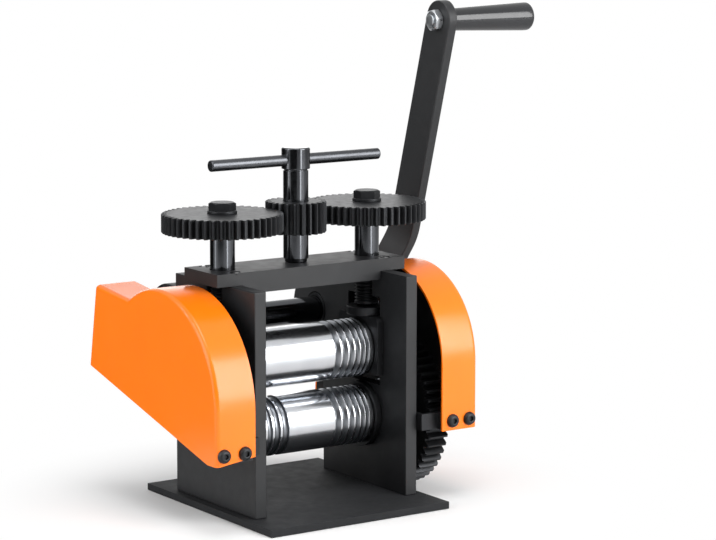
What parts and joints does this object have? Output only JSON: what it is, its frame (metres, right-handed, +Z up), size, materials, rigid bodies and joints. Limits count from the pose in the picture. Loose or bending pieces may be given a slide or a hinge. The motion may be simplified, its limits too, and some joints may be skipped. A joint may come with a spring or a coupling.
{
  "type": "jewellers rolling mill",
  "caption": "Hand cranked bench rolling mill with grooved steel rolls between side plates, sheet gear covers and a geared T-handle screw-down.",
  "frame": {"origin": "middle of the base plate's underside", "axes": "+X along the rolls towards the crank, +Y to the back, +Z up"},
  "size_m": [0.228, 0.1338, 0.2537],
  "materials": {
    "black_paint": "satin black paint",
    "orange_paint": "smooth orange paint",
    "black_steel": "black oxide",
    "polished_steel": "ground and polished",
    "bright_steel": "turned",
    "zinc": "zinc plated",
    "bronze": "machined bronze",
    "black_plastic": "moulded"
  },
  "bodies": {
    "frame": {"base_plate": "black_paint", "side_plate_left": "black_paint", "side_plate_right": "black_paint", "top_plate": "black_paint", "base_screw_1": "black_steel", "base_screw_2": "black_steel", "base_screw_3": "black_steel", "base_screw_4": "black_steel", "top_screw_1": "black_steel", "top_screw_2": "black_steel", "top_screw_3": "black_steel", "top_screw_4": "black_steel", "lower_bush_left": "black_steel", "lower_bush_right": "black_steel", "crank_bush_left": "bronze", "crank_bush_right": "bronze", "gear_cover_left": "orange_paint", "gear_cover_right": "orange_paint", "cover_bracket_left": "black_steel", "cover_bracket_right": "black_steel", "cover_screw_left_1": "black_steel", "cover_screw_left_2": "black_steel", "cover_screw_right_1": "black_steel", "cover_screw_right_2": "black_steel", "idler_stub": "black_steel", "spring_left_front": "bright_steel", "spring_left_rear": "bright_steel", "spring_right_front": "bright_steel", "spring_right_rear": "bright_steel"},
    "crank": {"crank_shaft": "black_steel", "crank_pinion_left": "black_steel", "crank_pinion_right": "black_steel", "crank_arm": "black_paint", "crank_bolt": "zinc", "crank_washer": "zinc", "grip_spindle": "bright_steel", "grip_nut": "zinc"},
    "grip": {"crank_grip": "black_plastic"},
    "lower_roll": {"lower_roll": "polished_steel", "lower_roll_gear": "black_steel", "lower_gear_bolt": "black_steel"},
    "idler": {"idler_gear": "black_steel"},
    "upper_blocks": {"upper_block_left": "black_steel", "upper_block_right": "black_steel", "thrust_pad_left": "bright_steel", "thrust_pad_right": "bright_steel"},
    "thrust_rings": {"thrust_ring_left": "bronze", "thrust_ring_right": "bronze"},
    "upper_roll": {"upper_roll": "polished_steel", "upper_roll_gear": "black_steel", "upper_gear_bolt": "black_steel"},
    "t_handle": {"handle_spindle": "black_steel", "centre_pinion": "black_steel", "handle_bar": "black_steel"},
    "screw_left": {"pressure_screw_left": "black_steel", "adjusting_gear_left": "black_steel", "adjuster_bolt_left": "black_steel"},
    "screw_right": {"pressure_screw_right": "black_steel", "adjusting_gear_right": "black_steel", "adjuster_bolt_right": "black_steel"}
  },
  "joints": [
    {"name": "crank", "type": "hinge", "parent": "frame", "child": "crank", "pos_m": [0, 0.04543, 0.0889], "axis": [1, 0, 0], "continuous": true},
    {"name": "grip", "type": "hinge", "parent": "crank", "child": "grip", "pos_m": [0.125, 0.00054, 0.24341], "axis": [1, 0, 0], "continuous": true},
    {"name": "lower_roll", "type": "hinge", "parent": "frame", "child": "lower_roll", "pos_m": [0, 0, 0.0406], "axis": [1, 0, 0], "continuous": true},
    {"name": "idler", "type": "hinge", "parent": "frame", "child": "idler", "pos_m": [0.063, 0.04468, 0.06191], "axis": [1, 0, 0], "continuous": true},
    {"name": "t_handle", "type": "hinge", "parent": "frame", "child": "t_handle", "pos_m": [0, 0, 0.1237], "axis": [0, 0, 1], "range_deg": [0, 1976]},
    {"name": "upper_blocks", "type": "slide", "parent": "frame", "child": "upper_blocks", "axis": [0, 0, 1], "range_m": [-0.0047, 0], "deforming": ["spring_left_front", "spring_left_rear", "spring_right_front", "spring_right_rear"]},
    {"name": "thrust_rings", "type": "hinge", "parent": "upper_blocks", "child": "thrust_rings", "pos_m": [0, 0, 0.0759], "axis": [1, 0, 0], "range_deg": [0, 7.45]},
    {"name": "upper_roll", "type": "hinge", "parent": "thrust_rings", "child": "upper_roll", "pos_m": [0, 0, 0.0759], "axis": [1, 0, 0], "continuous": true},
    {"name": "screw_left", "type": "hinge", "parent": "upper_blocks", "child": "screw_left", "pos_m": [-0.04375, 0, 0.1424], "axis": [0, 0, 1], "range_deg": [-967, 0]},
    {"name": "screw_right", "type": "hinge", "parent": "upper_blocks", "child": "screw_right", "pos_m": [0.04375, 0, 0.1424], "axis": [0, 0, 1], "range_deg": [-967, 0]}
  ],
  "couplings": [
    {"joint": "lower_roll", "follows": "crank", "ratio": 0.4},
    {"joint": "idler", "follows": "crank", "ratio": -1.25},
    {"joint": "upper_roll", "follows": "crank", "ratio": -0.4},
    {"joint": "t_handle", "follows": "upper_blocks", "rad_per_m": -7336.9},
    {"joint": "screw_left", "follows": "upper_blocks", "rad_per_m": 3590.4},
    {"joint": "screw_right", "follows": "upper_blocks", "rad_per_m": 3590.4},
    {"joint": "thrust_rings", "follows": "upper_blocks", "rad_per_m": -27.648}
  ]
}
